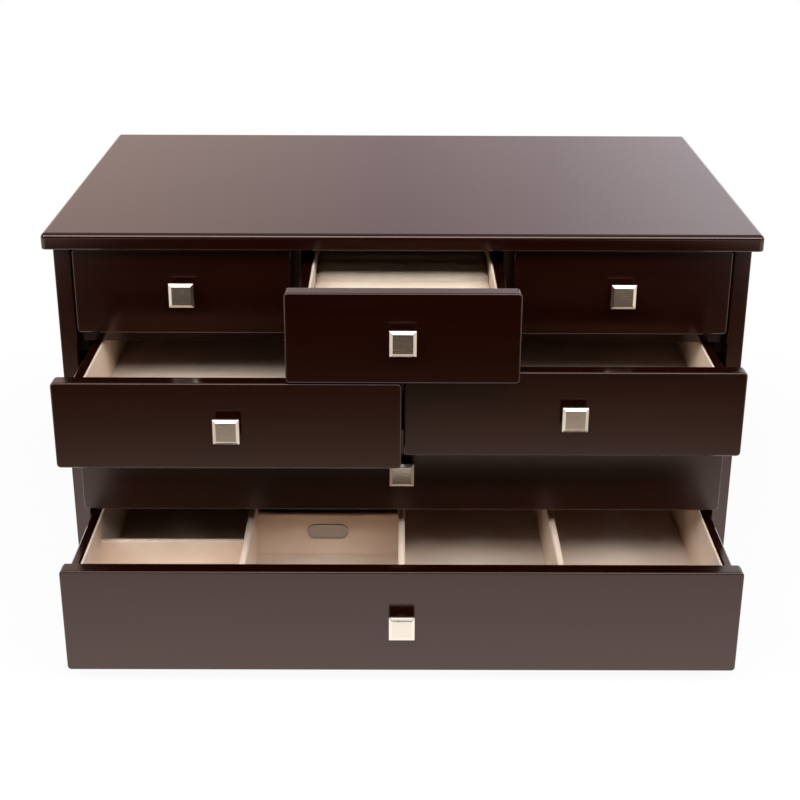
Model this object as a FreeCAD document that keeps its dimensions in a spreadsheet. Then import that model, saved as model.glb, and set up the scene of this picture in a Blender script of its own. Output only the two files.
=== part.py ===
import FreeCAD, Part
import os

import Sketcher

# A wooden jewelry box with seven lined drawers in four rows.
#
# Millimetres, +Z up. The origin is the middle of the case's underside, on the felt that the box stands on.
# The drawer fronts face -Y, and each drawer slides out along -Y. The drawers stand as far open as the
# rest pose has them. Every sub-part is one object whose label is the name of its STEP file.

# Sizes: a name, a value and what the value is
SIZES = (
    ("case_width", 395.0, "outside width over the side panels"),
    ("case_depth", 253.0, "front edge to rear edge of the side panels"),
    ("board_thick", 9.5, "side panels, base board, dust boards and partitions"),
    ("back_thick", 5.0, "back panel"),
    ("dado_deep", 3.0, "how far boards are let into the side panels"),
    ("felt_thick", 1.5, "felt under the base"),
    ("felt_inset", 2.0, "bare margin around the felt"),
    ("slab_thick", 9.5, "top slab"),
    ("slab_overhang", 5.5, "top slab past the case at the front and the sides"),
    ("slab_gap", 0.9, "clearance between the top slab and the top row's fronts"),
    ("slab_top_round", 2.4, "rounding of the slab's upper edge"),
    ("slab_bottom_round", 1.0, "rounding of the slab's lower edge"),
    ("slab_corner", 3.0, "rounding of the slab's corners in plan"),
    ("front_thick", 9.5, "drawer fronts"),
    ("front_gap", 0.8, "clearance between fronts above each other"),
    ("front_side_gap", 0.7, "clearance between a front and the side panel"),
    ("front_joint_gap", 1.2, "clearance between fronts beside each other"),
    ("front_lap", 1.3, "how far a front hangs below the board that its drawer runs on"),
    ("base_lap", 2.0, "how far the bottom front hangs below the top of the base board"),
    ("front_round", 0.9, "rounding around a front's face"),
    ("front_rear_corner", 4.0, "rounding of a front's upright edges behind"),
    ("front_rear_bevel", 0.8, "bevel along a front's upper and lower edge behind"),
    ("stop_gap", 0.3, "a closed front to the board edges behind it"),
    ("bottom_row_high", 62.6, "height of the bottom front"),
    ("third_row_high", 52.3, "height of the third row's front"),
    ("second_row_high", 49.6, "height of the second row's fronts"),
    ("top_row_high", 50.2, "height of the top row's fronts"),
    ("guide_wide", 5.0, "side guide strips"),
    ("guide_high", 6.0, "side guide strips"),
    ("running_gap", 0.1, "drawer box to the board that it slides on"),
    ("side_clearance", 1.5, "drawer box to its guide or partition"),
    ("wide_box_clearance", 1.75, "full-width drawer box to the side panel"),
    ("box_clearance", 1.2, "top of a drawer box to the board above"),
    ("box_end_gap", 6.0, "rear of a closed drawer box to the back panel"),
    ("wall_thick", 5.0, "sides and back of a drawer box"),
    ("wall_bevel", 0.8, "bevel along the top edges of the walls"),
    ("floor_thick", 3.0, "drawer floor panel"),
    ("floor_raise", 6.0, "underside of the floor panel above the foot of the walls"),
    ("groove_deep", 2.0, "how far the floor panel is let into the walls and the front"),
    ("lining_thick", 1.5, "fabric-covered card on the walls"),
    ("pad_thick", 4.0, "padded lining of the floor"),
    ("lining_drop", 0.8, "top of the lining below the top of the walls"),
    ("roll_count", 12.0, "ring rolls from front to rear"),
    ("roll_crest", 17.4, "height of the ring rolls"),
    ("roll_slot", 0.8, "slot between two rolls"),
    ("roll_base", 3.0, "backing that the rolls are sewn to"),
    ("roll_end_draw", 1.6, "how far a roll's ends are drawn in"),
    ("soft_gap", 0.3, "ends of the rolls to the lining"),
    ("divider_thick", 4.0, "fabric-covered dividers"),
    ("divider_round", 1.2, "rounding along the top of a divider"),
    ("long_divider_high", 34.5, "dividers from front to rear"),
    ("cross_divider_high", 26.5, "dividers across a column"),
    ("left_cross_place", 64.6, "front of the first column's cross divider behind the lining"),
    ("centre_cross_place", 98.8, "front of the second column's cross divider behind the lining"),
    ("plate_wide", 25.2, "blank oval plate"),
    ("plate_high", 9.6, "blank oval plate"),
    ("plate_thick", 0.8, "blank oval plate"),
    ("plate_place", 10.8, "middle of the plate below the top of its divider"),
    ("knob_wide", 14.3, "square head of a knob"),
    ("knob_head", 3.2, "thickness of a knob's head"),
    ("knob_bevel", 1.8, "bevel around a knob's face, seen from the front"),
    ("knob_bevel_deep", 1.2, "depth of that bevel"),
    ("knob_reach", 8.6, "face of a knob in front of the drawer front"),
    ("stem_wide", 7.2, "diameter of a knob's stem"),
    ("screw_thick", 4.0, "diameter of a knob screw"),
    ("screw_play", 0.1, "clearance around a knob screw, on the diameter"),
    ("screw_grip", 5.0, "length of the screw inside the knob"),
    ("screw_end_gap", 0.8, "bottom of the knob's hole past the screw"),
    ("screw_head", 7.0, "diameter of a screw's head"),
    ("screw_head_thick", 2.4, "thickness of a screw's head"),
    ("screw_head_bevel", 0.7, "bevel around a screw's head"),
    ("sink_wide", 8.0, "diameter of the recess for a screw's head"),
    ("sink_deep", 2.8, "depth of the recess for a screw's head"),
    ("top_centre_open", 78.0, "top centre drawer, pulled out"),
    ("second_left_open", 76.7, "second row's left drawer, pulled out"),
    ("second_right_open", 58.9, "second row's right drawer, pulled out"),
    ("third_open", 19.6, "third drawer, pulled out"),
    ("bottom_open", 94.1, "bottom drawer, pulled out"),
)

doc = FreeCAD.newDocument("jewelry_box")
sheet = doc.addObject("Spreadsheet::Sheet", "Sizes")
for row, (alias, value, note) in enumerate(SIZES, start=1):
    sheet.set(f"A{row}", str(value))
    sheet.setAlias(f"A{row}", alias)
    sheet.set(f"B{row}", note)
doc.recompute()

subparts = []
cuts = []


def size(alias):
    """Expression for one named size."""
    return f"Sizes.{alias}"


def total(*terms):
    """Expression for a sum of expressions."""
    return "(" + " + ".join(terms) + ")"


def less(whole, *terms):
    """Expression for one expression less the others."""
    return f"({whole} - " + " - ".join(terms) + ")"


def times(count, term):
    """Expression for a multiple of an expression."""
    return f"({count} * {term})"


def number(expression):
    """Present value of an expression."""
    result = sheet.evalExpression(expression)
    return float(getattr(result, "Value", result))


def keep(piece):
    """Note an object as a sub-part that gets a file of its own."""
    subparts.append(piece)
    return piece


def place(piece, corner):
    """Bind an object's position to three expressions."""
    for axis, expression in zip("xyz", corner):
        piece.setExpression(f"Placement.Base.{axis}", expression)


def new_body(label, corner):
    """Empty body whose origin lies at the corner."""
    body = doc.addObject("PartDesign::Body", label)
    body.Label = label
    place(body, corner)
    return body


def new_sketch(body, role, offset=("0", "0", "0")):
    """Sketch on one of the body's own planes, shifted in the plane's axes."""
    plane = next(item for item in body.Origin.OriginFeatures if item.Role == role)
    sketch = body.newObject("Sketcher::SketchObject", f"{body.Label}_sketch")
    sketch.AttachmentSupport = (plane, [""])
    sketch.MapMode = "FlatFace"
    for axis, expression in zip("xyz", offset):
        sketch.setExpression(f"AttachmentOffset.Base.{axis}", expression)
    return sketch


def bind(sketch, kind, first, first_point, second, second_point, name, expression):
    """Constraint along one sketch axis whose value follows an expression."""
    constraint = Sketcher.Constraint(kind, first, first_point, second, second_point, number(expression))
    index = sketch.addConstraint(constraint)
    sketch.renameConstraint(index, name)
    sketch.setExpression(f"Constraints.{name}", expression)


def chain(sketch, count):
    """Join the ends of a sketch's first pieces into a closed loop."""
    for index in range(count):
        sketch.addConstraint(Sketcher.Constraint("Coincident", index, 2, (index + 1) % count, 1))


def rectangle(sketch, wide, high):
    """Rectangle with its first corner at the sketch's origin."""
    right = number(wide)
    top = number(high)
    corners = [FreeCAD.Vector(x, y, 0) for x, y in ((0, 0), (right, 0), (right, top), (0, top))]
    for start, end in zip(corners, corners[1:] + corners[:1]):
        sketch.addGeometry(Part.LineSegment(start, end), False)
    chain(sketch, 4)
    sketch.addConstraint(Sketcher.Constraint("Horizontal", 0))
    sketch.addConstraint(Sketcher.Constraint("Vertical", 1))
    sketch.addConstraint(Sketcher.Constraint("Horizontal", 2))
    sketch.addConstraint(Sketcher.Constraint("Vertical", 3))
    sketch.addConstraint(Sketcher.Constraint("Coincident", 0, 1, -1, 1))
    bind(sketch, "DistanceX", 0, 1, 0, 2, "wide", wide)
    bind(sketch, "DistanceY", 1, 1, 1, 2, "high", high)


def circle(sketch, diameter):
    """Circle around the sketch's origin."""
    centre = FreeCAD.Vector(0, 0, 0)
    up = FreeCAD.Vector(0, 0, 1)
    sketch.addGeometry(Part.Circle(centre, up, number(diameter) / 2), False)
    sketch.addConstraint(Sketcher.Constraint("Coincident", 0, 3, -1, 1))
    index = sketch.addConstraint(Sketcher.Constraint("Diameter", 0, number(diameter)))
    sketch.renameConstraint(index, "across")
    sketch.setExpression("Constraints.across", diameter)


def pad(body, sketch, length, reverse=False):
    """Material raised from a sketch."""
    feature = body.newObject("PartDesign::Pad", f"{body.Label}_pad")
    feature.Profile = sketch
    feature.setExpression("Length", length)
    feature.Reversed = reverse
    body.Tip = feature
    return feature


def pocket(body, sketch, length):
    """Material removed below a sketch."""
    feature = body.newObject("PartDesign::Pocket", f"{body.Label}_cut")
    feature.Profile = sketch
    feature.setExpression("Length", length)
    body.Tip = feature
    cuts.append(feature)
    return feature


def cut_box(body, corner, wide, deep, high):
    """Box-shaped cut whose lowest corner is given in the body's own axes."""
    x, y, z = corner
    sketch = new_sketch(body, "XY_Plane", (x, y, total(z, high)))
    rectangle(sketch, wide, deep)
    return pocket(body, sketch, high)


def board(label, corner, wide, deep, high):
    """Square-edged board with its lowest corner at the given place."""
    body = new_body(label, corner)
    sketch = new_sketch(body, "XY_Plane")
    rectangle(sketch, wide, deep)
    pad(body, sketch, high)
    return body


def dress(body, kind, radius, chosen, name):
    """Fillet or chamfer on the edges of the present solid that the test chooses."""
    doc.recompute()
    base = body.Tip
    names = [f"Edge{i}" for i, edge in enumerate(base.Shape.Edges, start=1) if chosen(edge)]
    feature = body.newObject(f"PartDesign::{kind}", f"{body.Label}_{name}")
    feature.Base = (base, names)
    feature.setExpression("Radius" if kind == "Fillet" else "Size", radius)
    body.Tip = feature
    return feature


def flat_at(axis, level):
    """Test for edges that lie wholly at one level of an axis."""
    def test(edge):
        low = getattr(edge.BoundBox, axis + "Min")
        high = getattr(edge.BoundBox, axis + "Max")
        return abs(low - level) < TOUCH and abs(high - level) < TOUCH
    return test


def runs_along(axis):
    """Test for straight edges along one axis."""
    others = [name for name in "XYZ" if name != axis]
    def test(edge):
        return all(getattr(edge.BoundBox, name + "Length") < TOUCH for name in others)
    return test


TOUCH = 1e-4

# Levels and widths that the pieces share, as expressions of the named sizes
LEFT = less("0", times("0.5", size("case_width")))
FRONT = less("0", times("0.5", size("case_depth")))
INNER_LEFT = total(LEFT, size("board_thick"))
INNER_WIDE = less(size("case_width"), times("2", size("board_thick")))
BACK_FACE = less(size("case_depth"), size("back_thick"))
BASE_TOP = total(size("felt_thick"), size("board_thick"))
BOARD_START = total(size("front_thick"), size("stop_gap"))
BOARD_DEEP = less(BACK_FACE, BOARD_START)

ROW_NAMES = ("bottom", "third", "second", "top")
ROW_FOOT = {"bottom": less(BASE_TOP, size("base_lap"))}
for lower, upper in zip(ROW_NAMES, ROW_NAMES[1:]):
    ROW_FOOT[upper] = total(ROW_FOOT[lower], size(f"{lower}_row_high"), size("front_gap"))
SHELF_TOP = {name: total(ROW_FOOT[name], size("front_lap")) for name in ROW_NAMES}
SHELF_TOP["bottom"] = BASE_TOP
SHELF_FOOT = {name: less(SHELF_TOP[name], size("board_thick")) for name in ROW_NAMES}
SLAB_FOOT = total(ROW_FOOT["top"], size("top_row_high"), size("slab_gap"))
WALL_DROP = less(total(size("board_thick"), size("box_clearance")), size("front_gap"), size("front_lap"))


# Case

def make_top_slab():
    """Top board with an overhang, rounded corners and rounded edges."""
    wide = total(size("case_width"), times("2", size("slab_overhang")))
    deep = total(size("case_depth"), size("slab_overhang"))
    corner = (less(LEFT, size("slab_overhang")), less(FRONT, size("slab_overhang")), SLAB_FOOT)
    slab = board("top_slab", corner, wide, deep, size("slab_thick"))
    dress(slab, "Fillet", size("slab_corner"), runs_along("Z"), "corners")
    dress(slab, "Fillet", size("slab_top_round"), flat_at("Z", number(size("slab_thick"))), "top_edge")
    dress(slab, "Fillet", size("slab_bottom_round"), flat_at("Z", 0), "bottom_edge")
    keep(slab)


def make_side_panel(label, x, dado_x):
    """Side board with dadoes for the inner boards and a rabbet for the back panel."""
    high = less(SLAB_FOOT, size("felt_thick"))
    panel = board(label, (x, FRONT, size("felt_thick")), size("board_thick"), size("case_depth"), high)
    cut_box(panel, (dado_x, "0", "0"), size("dado_deep"), size("case_depth"), size("board_thick"))
    for name in ROW_NAMES[1:]:
        foot = less(SHELF_FOOT[name], size("felt_thick"))
        cut_box(panel, (dado_x, BOARD_START, foot), size("dado_deep"), BOARD_DEEP, size("board_thick"))
    cut_box(panel, (dado_x, BACK_FACE, size("board_thick")), size("dado_deep"), size("back_thick"),
            less(high, size("board_thick")))
    keep(panel)


def make_side_panels():
    """The two side boards, with their dadoes facing each other."""
    make_side_panel("left_side_panel", LEFT, less(size("board_thick"), size("dado_deep")))
    make_side_panel("right_side_panel", total(INNER_LEFT, INNER_WIDE), "0")


def make_back_panel():
    """Back, let into the side panels and standing on the base board."""
    corner = (less(INNER_LEFT, size("dado_deep")), total(FRONT, BACK_FACE), BASE_TOP)
    wide = total(INNER_WIDE, times("2", size("dado_deep")))
    keep(board("back_panel", corner, wide, size("back_thick"), less(SLAB_FOOT, BASE_TOP)))


def make_base_board():
    """Bottom board; its front edge is stepped down for the bottom drawer's front."""
    corner = (less(INNER_LEFT, size("dado_deep")), FRONT, size("felt_thick"))
    wide = total(INNER_WIDE, times("2", size("dado_deep")))
    base = board("base_board", corner, wide, size("case_depth"), size("board_thick"))
    step = total(size("base_lap"), size("front_gap"))
    cut_box(base, ("0", "0", less(size("board_thick"), step)), wide, BOARD_START, step)
    keep(base)


def make_dust_board(label, name):
    """Shelf that a row of drawers slides on."""
    corner = (less(INNER_LEFT, size("dado_deep")), total(FRONT, BOARD_START), SHELF_FOOT[name])
    wide = total(INNER_WIDE, times("2", size("dado_deep")))
    keep(board(label, corner, wide, BOARD_DEEP, size("board_thick")))


def make_felt():
    """Felt under the base."""
    inset = size("felt_inset")
    wide = less(size("case_width"), times("2", inset))
    deep = less(size("case_depth"), times("2", inset))
    corner = (total(LEFT, inset), total(FRONT, inset), "0")
    keep(board("base_felt", corner, wide, deep, size("felt_thick")))


# Drawer rows: the widths of the fronts, and the boards between the boxes

ROW_WIDE = less(INNER_WIDE, times("2", size("front_side_gap")))
ROW_LEFT = total(INNER_LEFT, size("front_side_gap"))
ACROSS = {"bottom": 1, "third": 1, "second": 2, "top": 3}


def front_wide(name):
    """Width of one front in a row."""
    gaps = times(str(ACROSS[name] - 1), size("front_joint_gap"))
    return f"({less(ROW_WIDE, gaps)} / {ACROSS[name]})"


def front_left(name, place_in_row):
    """Left end of a front, counted from the left of its row."""
    step = total(front_wide(name), size("front_joint_gap"))
    return total(ROW_LEFT, times(str(place_in_row), step))


def partition_left(name, joint):
    """Left face of the partition behind the joint between two fronts."""
    middle = less(front_left(name, joint), times("0.5", size("front_joint_gap")))
    return less(middle, times("0.5", size("board_thick")))


def group(label, pieces):
    """Several separate solids kept as one sub-part."""
    compound = doc.addObject("Part::Compound", label)
    compound.Label = label
    compound.Links = pieces
    return keep(compound)


def make_partitions():
    """Upright boards between the drawers of the two upper rows."""
    deep = total(FRONT, BOARD_START)
    top_high = less(SLAB_FOOT, SHELF_TOP["top"])
    pieces = []
    for joint in (1, 2):
        corner = (partition_left("top", joint), deep, SHELF_TOP["top"])
        label = f"top_row_partition_{joint}"
        pieces.append(board(label, corner, size("board_thick"), BOARD_DEEP, top_high))
    group("top_row_partitions", pieces)
    corner = (partition_left("second", 1), deep, SHELF_TOP["second"])
    high = less(SHELF_FOOT["top"], SHELF_TOP["second"])
    keep(board("second_row_partition", corner, size("board_thick"), BOARD_DEEP, high))


def make_side_guides():
    """Strips on the side panels: above the upper board for the top row, below it for the second."""
    right = less(total(INNER_LEFT, INNER_WIDE), size("guide_wide"))
    under = less(SHELF_FOOT["top"], size("guide_high"))
    pieces = []
    for index, (x, z) in enumerate(((INNER_LEFT, SHELF_TOP["top"]), (right, SHELF_TOP["top"]),
                                    (INNER_LEFT, under), (right, under)), start=1):
        corner = (x, total(FRONT, BOARD_START), z)
        pieces.append(board(f"side_guide_{index}", corner, size("guide_wide"), BOARD_DEEP, size("guide_high")))
    group("side_guides", pieces)


# Drawers

class Drawer:
    """Where one drawer stands, as expressions, and the pieces that every drawer has."""

    def __init__(self, name, row, place_in_row=0, opening="0"):
        self.name = name
        self.row = row
        self.place_in_row = place_in_row
        self.wide = front_wide(row)
        self.high = size(f"{row}_row_high")
        self.left = front_left(row, place_in_row)
        self.face = less(FRONT, opening)
        self.foot = ROW_FOOT[row]
        self.rear = total(self.face, size("front_thick"))
        self.box_foot = total(SHELF_TOP[row], size("running_gap"))
        self.box_top = less(total(self.foot, self.high), WALL_DROP)
        self.box_high = less(self.box_top, self.box_foot)
        self.box_deep = less(BACK_FACE, size("front_thick"), size("box_end_gap"))
        self.box_left = total(self.left, self.inset(False))
        self.box_wide = less(self.wide, self.inset(False), self.inset(True))
        self.inner_left = total(self.box_left, size("wall_thick"))
        self.inner_wide = less(self.box_wide, times("2", size("wall_thick")))
        self.inner_deep = less(self.box_deep, size("wall_thick"))
        self.floor_foot = total(self.box_foot, size("floor_raise"))
        self.lining_foot = total(self.floor_foot, size("floor_thick"))
        self.lining_high = less(self.box_top, self.lining_foot, size("lining_drop"))
        self.room_left = total(self.inner_left, size("lining_thick"))
        self.room_wide = less(self.inner_wide, times("2", size("lining_thick")))
        self.room_front = total(self.rear, size("lining_thick"))
        self.room_deep = less(self.inner_deep, times("2", size("lining_thick")))
        self.room_foot = total(self.lining_foot, size("pad_thick"))

    def inset(self, right_side):
        """How far the box stands in from one end of its front."""
        if ACROSS[self.row] == 1:
            return less(size("wide_box_clearance"), size("front_side_gap"))
        at_the_end = self.place_in_row == (ACROSS[self.row] - 1 if right_side else 0)
        if at_the_end:
            return less(total(size("guide_wide"), size("side_clearance")), size("front_side_gap"))
        half_joint = times("0.5", size("front_joint_gap"))
        return less(total(times("0.5", size("board_thick")), size("side_clearance")), half_joint)

    def make_front(self):
        """Front with a rounded face edge, a floor groove, and the screw's hole and recess."""
        front = new_body(f"{self.name}_front", (self.left, self.face, self.foot))
        sketch = new_sketch(front, "XZ_Plane")
        rectangle(sketch, self.wide, self.high)
        pad(front, sketch, size("front_thick"), reverse=True)
        dress(front, "Fillet", size("front_round"), flat_at("Y", 0), "face_edge")
        rear_edge = flat_at("Y", number(size("front_thick")))
        level = runs_along("X")
        upright = runs_along("Z")
        dress(front, "Chamfer", size("front_rear_bevel"), lambda edge: rear_edge(edge) and level(edge), "rear_edges")
        dress(front, "Fillet", size("front_rear_corner"), lambda edge: rear_edge(edge) and upright(edge),
              "rear_corners")
        groove_x = less(total(self.inner_left, "0"), size("groove_deep"), self.left)
        groove = (groove_x, less(size("front_thick"), size("groove_deep")), less(self.floor_foot, self.foot))
        groove_wide = total(self.inner_wide, times("2", size("groove_deep")))
        cut_box(front, groove, groove_wide, size("groove_deep"), size("floor_thick"))
        middle = (times("0.5", self.wide), times("0.5", self.high))
        hole = new_sketch(front, "XZ_Plane", (*middle, "0"))
        circle(hole, total(size("screw_thick"), size("screw_play")))
        pocket(front, hole, size("front_thick"))
        sink = new_sketch(front, "XZ_Plane", (*middle, less(size("sink_deep"), size("front_thick"))))
        circle(sink, size("sink_wide"))
        pocket(front, sink, size("sink_deep"))
        keep(front)

    def make_wall(self, label, corner, wide, deep, groove, groove_wide, groove_deep, along):
        """One wall of the box with its floor groove and a bevelled top."""
        wall = board(label, corner, wide, deep, self.box_high)
        x, y = groove
        cut_box(wall, (x, y, size("floor_raise")), groove_wide, groove_deep, size("floor_thick"))
        top = flat_at("Z", number(self.box_high))
        straight = runs_along(along)
        dress(wall, "Chamfer", size("wall_bevel"), lambda edge: top(edge) and straight(edge), "top_edges")
        return wall

    def make_box(self):
        """Two sides and a back between them."""
        thick = size("wall_thick")
        deep = size("groove_deep")
        left = self.make_wall(f"{self.name}_left_wall", (self.box_left, self.rear, self.box_foot),
                              thick, self.box_deep, (less(thick, deep), "0"), deep, self.box_deep, "Y")
        right_x = total(self.inner_left, self.inner_wide)
        right = self.make_wall(f"{self.name}_right_wall", (right_x, self.rear, self.box_foot),
                               thick, self.box_deep, ("0", "0"), deep, self.box_deep, "Y")
        back_y = total(self.rear, self.inner_deep)
        back = self.make_wall(f"{self.name}_back_wall", (self.inner_left, back_y, self.box_foot),
                              self.inner_wide, thick, ("0", "0"), self.inner_wide, deep, "X")
        group(f"{self.name}_box", [left, right, back])

    def make_floor(self):
        """Floor panel, let into the walls and the front."""
        deep = size("groove_deep")
        corner = (less(self.inner_left, deep), less(self.rear, deep), self.floor_foot)
        wide = total(self.inner_wide, times("2", deep))
        long = total(self.inner_deep, times("2", deep))
        keep(board(f"{self.name}_floor", corner, wide, long, size("floor_thick")))

    def make_lining(self):
        """Open tray of fabric-covered card with a padded floor."""
        corner = (self.inner_left, self.rear, self.lining_foot)
        lining = board(f"{self.name}_lining", corner, self.inner_wide, self.inner_deep, self.lining_high)
        thick = size("lining_thick")
        cut_box(lining, (thick, thick, size("pad_thick")), self.room_wide, self.room_deep,
                less(self.lining_high, size("pad_thick")))
        keep(lining)

    def turned_body(self, label, y):
        """Body whose own +Z points out of the drawer front, on the knob's axis."""
        middle = (total(self.left, times("0.5", self.wide)), y, total(self.foot, times("0.5", self.high)))
        body = new_body(label, middle)
        body.Placement = FreeCAD.Placement(FreeCAD.Vector(0, 0, 0), FreeCAD.Rotation(FreeCAD.Vector(1, 0, 0), 90))
        return body

    def make_knob(self):
        """Round stem below a square head with a bevelled face, bored from behind."""
        knob = self.turned_body(f"{self.name}_knob", self.face)
        stem_high = less(size("knob_reach"), size("knob_head"))
        stem = new_sketch(knob, "XY_Plane")
        circle(stem, size("stem_wide"))
        pad(knob, stem, stem_high)
        corner = less("0", times("0.5", size("knob_wide")))
        head = new_sketch(knob, "XY_Plane", (corner, corner, stem_high))
        rectangle(head, size("knob_wide"), size("knob_wide"))
        pad(knob, head, size("knob_head"))
        bevel = dress(knob, "Chamfer", size("knob_bevel_deep"), flat_at("Z", number(size("knob_reach"))), "bevel")
        bevel.ChamferType = "Two distances"
        bevel.setExpression("Size2", size("knob_bevel"))
        bore_deep = total(size("screw_grip"), size("screw_end_gap"))
        bore = new_sketch(knob, "XY_Plane", ("0", "0", bore_deep))
        circle(bore, total(size("screw_thick"), size("screw_play")))
        pocket(knob, bore, bore_deep)
        keep(knob)

    def make_screw(self):
        """Screw with a round head, from the recess behind the front into the knob."""
        seat = less(self.rear, size("sink_deep"))
        screw = self.turned_body(f"{self.name}_knob_screw", seat)
        head = new_sketch(screw, "XY_Plane")
        circle(head, size("screw_head"))
        pad(screw, head, size("screw_head_thick"), reverse=True)
        shank = new_sketch(screw, "XY_Plane")
        circle(shank, size("screw_thick"))
        pad(screw, shank, total(less(size("front_thick"), size("sink_deep")), size("screw_grip")))
        rim = flat_at("Z", -number(size("screw_head_thick")))
        dress(screw, "Chamfer", size("screw_head_bevel"), rim, "head_edge")
        keep(screw)

    def make(self):
        """Every piece that each drawer has."""
        self.make_front()
        self.make_box()
        self.make_floor()
        self.make_lining()
        self.make_knob()
        self.make_screw()


def arch(sketch, wide, side_high):
    """Upright sides under a half-round crown, drawn as two quarter arcs."""
    radius = number(wide) / 2
    side = number(side_high)
    up = FreeCAD.Vector(0, 0, 1)
    centre = FreeCAD.Vector(radius, side, 0)
    crown = Part.Circle(centre, up, radius)
    quarter = 3.141592653589793 / 2
    low_left = FreeCAD.Vector(0, 0, 0)
    low_right = FreeCAD.Vector(2 * radius, 0, 0)
    sketch.addGeometry(Part.LineSegment(low_left, low_right), False)
    sketch.addGeometry(Part.LineSegment(low_right, FreeCAD.Vector(2 * radius, side, 0)), False)
    sketch.addGeometry(Part.ArcOfCircle(crown, 0, quarter), False)
    sketch.addGeometry(Part.ArcOfCircle(crown, quarter, 2 * quarter), False)
    sketch.addGeometry(Part.LineSegment(FreeCAD.Vector(0, side, 0), low_left), False)
    chain(sketch, 5)
    sketch.addConstraint(Sketcher.Constraint("Coincident", 0, 1, -1, 1))
    sketch.addConstraint(Sketcher.Constraint("Horizontal", 0))
    sketch.addConstraint(Sketcher.Constraint("Vertical", 1))
    sketch.addConstraint(Sketcher.Constraint("Vertical", 4))
    sketch.addConstraint(Sketcher.Constraint("Coincident", 2, 3, 3, 3))
    sketch.addConstraint(Sketcher.Constraint("Horizontal", 1, 2, 2, 3))
    sketch.addConstraint(Sketcher.Constraint("Horizontal", 4, 1, 3, 3))
    sketch.addConstraint(Sketcher.Constraint("Vertical", 2, 3, 2, 2))
    bind(sketch, "DistanceX", 0, 1, 0, 2, "wide", wide)
    bind(sketch, "DistanceY", 1, 1, 1, 2, "side_high", side_high)


def make_ring_rolls(drawer):
    """Backing with a row of rolls; each roll is drawn in at its ends."""
    pitch = f"({drawer.room_deep} / {size('roll_count')})"
    roll_wide = less(pitch, size("roll_slot"))
    side_high = less(size("roll_crest"), times("0.5", roll_wide))
    draw = size("roll_end_draw")
    long = less(drawer.room_wide, times("2", size("soft_gap")))
    corner = (total(drawer.room_left, size("soft_gap")), drawer.room_front, drawer.room_foot)
    rolls = board("ring_rolls", corner, long, drawer.room_deep, size("roll_base"))
    stations = (("0", draw), (draw, "0"), (less(long, draw), "0"), (long, draw))
    sections = []
    for along, narrowing in stations:
        start = total(times("0.5", size("roll_slot")), narrowing)
        section = new_sketch(rolls, "YZ_Plane", (start, "0", along))
        arch(section, less(roll_wide, times("2", narrowing)), side_high)
        sections.append(section)
    roll = rolls.newObject("PartDesign::AdditiveLoft", "ring_roll_loft")
    roll.Profile = sections[0]
    roll.Sections = sections[1:]
    roll.Ruled = True
    rolls.Tip = roll
    doc.recompute()
    row = rolls.newObject("PartDesign::LinearPattern", "ring_roll_row")
    row.Originals = [roll]
    y_axis = next(item for item in rolls.Origin.OriginFeatures if item.Role == "Y_Axis")
    row.Direction = (y_axis, [""])
    row.setExpression("Length", f"({pitch} * ({size('roll_count')} - 1))")
    row.setExpression("Occurrences", size("roll_count"))
    rolls.Tip = row
    keep(rolls)


def make_divider(label, corner, wide, deep, high, along):
    """Fabric-covered divider with a rounded top."""
    divider = board(label, corner, wide, deep, high)
    top = flat_at("Z", number(high))
    straight = runs_along(along)
    dress(divider, "Fillet", size("divider_round"), lambda edge: top(edge) and straight(edge), "top_edges")
    return divider


def make_dividers(drawer):
    """Three long dividers make four columns; two lower ones cross the first and second column."""
    thick = size("divider_thick")
    columns = 4
    column_wide = f"({less(drawer.room_wide, times(str(columns - 1), thick))} / {columns})"
    pieces = []
    for index in range(1, columns):
        x = total(drawer.room_left, times(str(index), column_wide), times(str(index - 1), thick))
        corner = (x, drawer.room_front, drawer.room_foot)
        high = size("long_divider_high")
        pieces.append(make_divider(f"long_divider_{index}", corner, thick, drawer.room_deep, high, "Y"))
    group("long_dividers", pieces)
    high = size("cross_divider_high")
    left_y = total(drawer.room_front, size("left_cross_place"))
    corner = (drawer.room_left, left_y, drawer.room_foot)
    keep(make_divider("left_cross_divider", corner, column_wide, thick, high, "X"))
    second_column = total(drawer.room_left, column_wide, thick)
    centre_y = total(drawer.room_front, size("centre_cross_place"))
    corner = (second_column, centre_y, drawer.room_foot)
    keep(make_divider("centre_cross_divider", corner, column_wide, thick, high, "X"))
    middle_x = total(second_column, times("0.5", column_wide))
    middle_z = less(total(drawer.room_foot, high), size("plate_place"))
    make_plate((middle_x, centre_y, middle_z))


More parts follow.
